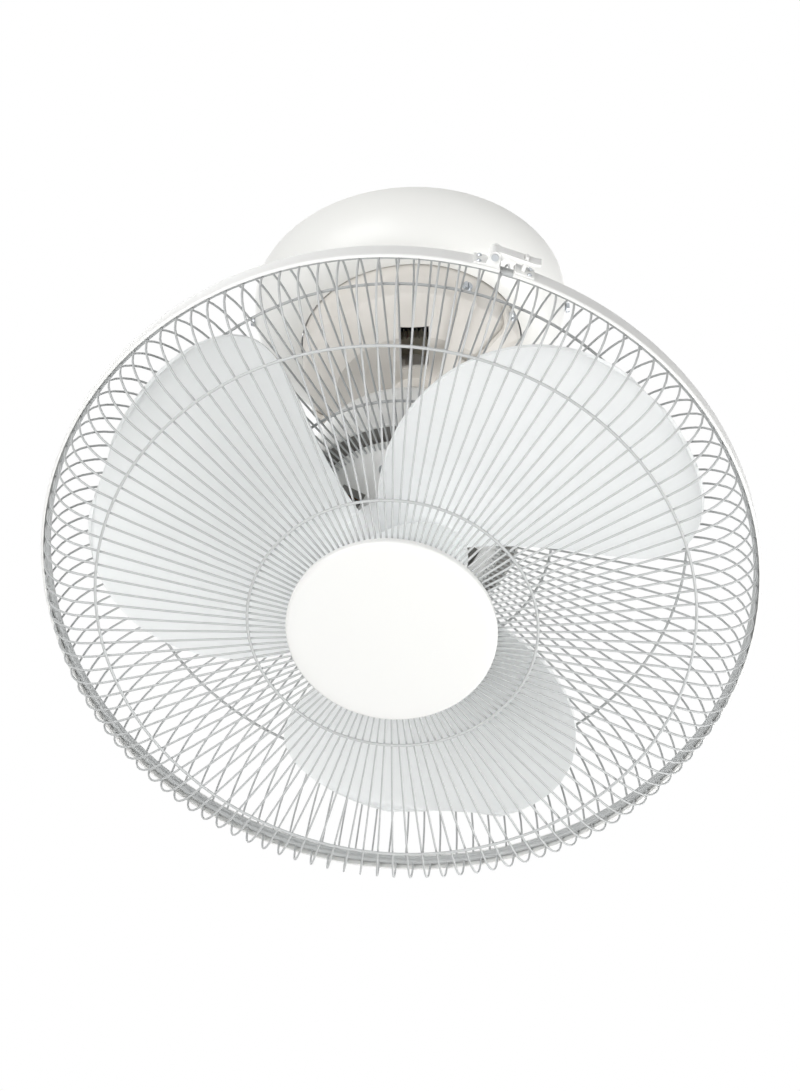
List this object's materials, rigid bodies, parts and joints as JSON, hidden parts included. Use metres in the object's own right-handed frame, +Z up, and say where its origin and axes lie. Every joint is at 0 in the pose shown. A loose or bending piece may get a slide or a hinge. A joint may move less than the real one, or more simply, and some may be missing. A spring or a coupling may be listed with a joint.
{
  "type": "orbital ceiling fan",
  "caption": "Ceiling fan with a round canopy, a gear case and a caged blade head that leans and circles under the ceiling on a crank and a slotted fork.",
  "frame": {"origin": "centre of the ceiling face, on the vertical axis that the head circles about", "axes": "+Z up into the ceiling, the head leans toward -Y at rest, +X to the right seen from -Y"},
  "size_m": [0.4472, 0.4243, 0.4121],
  "materials": {
    "shell_white": "smooth satin white paint",
    "cage_white": "white powder coat on sheet steel",
    "wire_grey": "light silvery grey powder coat on steel wire",
    "case_grey": "warm light grey paint on a die casting",
    "casting": "as cast, lightly blasted",
    "zinc_steel": "bright zinc plate",
    "ground_steel": "ground",
    "lamination": "edges of stacked sheet, varnished",
    "copper_winding": "enamelled copper under varnish",
    "bronze": "sintered, oil soaked",
    "blade_white": "moulded, soft sheen",
    "nylon": "natural moulded nylon",
    "cap_white": "moulded, smooth",
    "film_white": "moulded case"
  },
  "bodies": {
    "ceiling_unit": {"ceiling_plate": "zinc_steel", "pillars": "zinc_steel", "pillar_screws": "zinc_steel", "canopy": "shell_white", "canopy_screws": "zinc_steel", "case_lid": "zinc_steel", "gear_case": "case_grey", "case_screws": "zinc_steel", "spindle_bush": "bronze", "thrust_washer": "nylon", "orbit_motor": "zinc_steel", "orbit_motor_screws": "zinc_steel", "terminal_block": "nylon", "terminal_screws": "bronze", "run_capacitor": "film_white", "fork_arm_right": "case_grey", "fork_arm_left": "case_grey", "fork_screws": "zinc_steel"},
    "crank_unit": {"crank": "ground_steel", "orbit_gear": "nylon", "gear_pin": "ground_steel", "crank_washer": "zinc_steel", "crank_nut": "zinc_steel"},
    "pinion_unit": {"orbit_pinion": "nylon", "pinion_shaft": "ground_steel"},
    "head": {"head_neck": "casting", "guide_pins": "ground_steel", "head_bushes": "bronze", "motor_rear_shield": "casting", "motor_front_shield": "casting", "through_bolts": "zinc_steel", "stator_core": "lamination", "stator_windings": "copper_winding", "shaft_bushes": "bronze", "motor_cover": "shell_white", "cover_screws": "zinc_steel", "rear_cage_plate": "cage_white", "cage_screws": "zinc_steel", "rear_cage_wires": "wire_grey", "rear_cage_rings": "wire_grey", "front_cage_wires": "wire_grey", "front_cage_rings": "wire_grey", "front_hub_plate": "zinc_steel", "front_cap": "cap_white", "cap_screw": "zinc_steel", "clamp_hoop": "cage_white", "latch_bracket": "cage_white", "latch_catch": "cage_white", "latch_pin": "zinc_steel", "latch_rivets": "zinc_steel"},
    "blade_rotor": {"motor_shaft": "ground_steel", "rotor_core": "lamination", "drive_pin": "ground_steel", "blades": "blade_white", "spinner_nut": "blade_white"},
    "latch": {"latch_lever": "cage_white"}
  },
  "joints": [
    {"name": "orbit", "type": "hinge", "parent": "ceiling_unit", "child": "crank_unit", "pos_m": [0, 0, -0.06], "axis": [0, 0, 1], "continuous": true},
    {"name": "pinion_spin", "type": "hinge", "parent": "ceiling_unit", "child": "pinion_unit", "pos_m": [-0.04005, 0, -0.06], "axis": [0, 0, 1], "continuous": true},
    {"name": "head_on_crank", "type": "hinge", "parent": "crank_unit", "child": "head", "pos_m": [0, 0, -0.145], "axis": [0, 0.342, 0.9397], "continuous": true},
    {"name": "blade_spin", "type": "hinge", "parent": "head", "child": "blade_rotor", "pos_m": [0, 0, -0.145], "axis": [0, -0.342, -0.9397], "continuous": true},
    {"name": "latch_lever", "type": "hinge", "parent": "head", "child": "latch", "pos_m": [0.12078, -0.24384, -0.24222], "axis": [0, -0.342, -0.9397], "range_deg": [0, 110]}
  ],
  "couplings": [
    {"joint": "pinion_spin", "follows": "orbit", "ratio": -3},
    {"joint": "head_on_crank", "follows": "orbit", "ratio": -1}
  ]
}
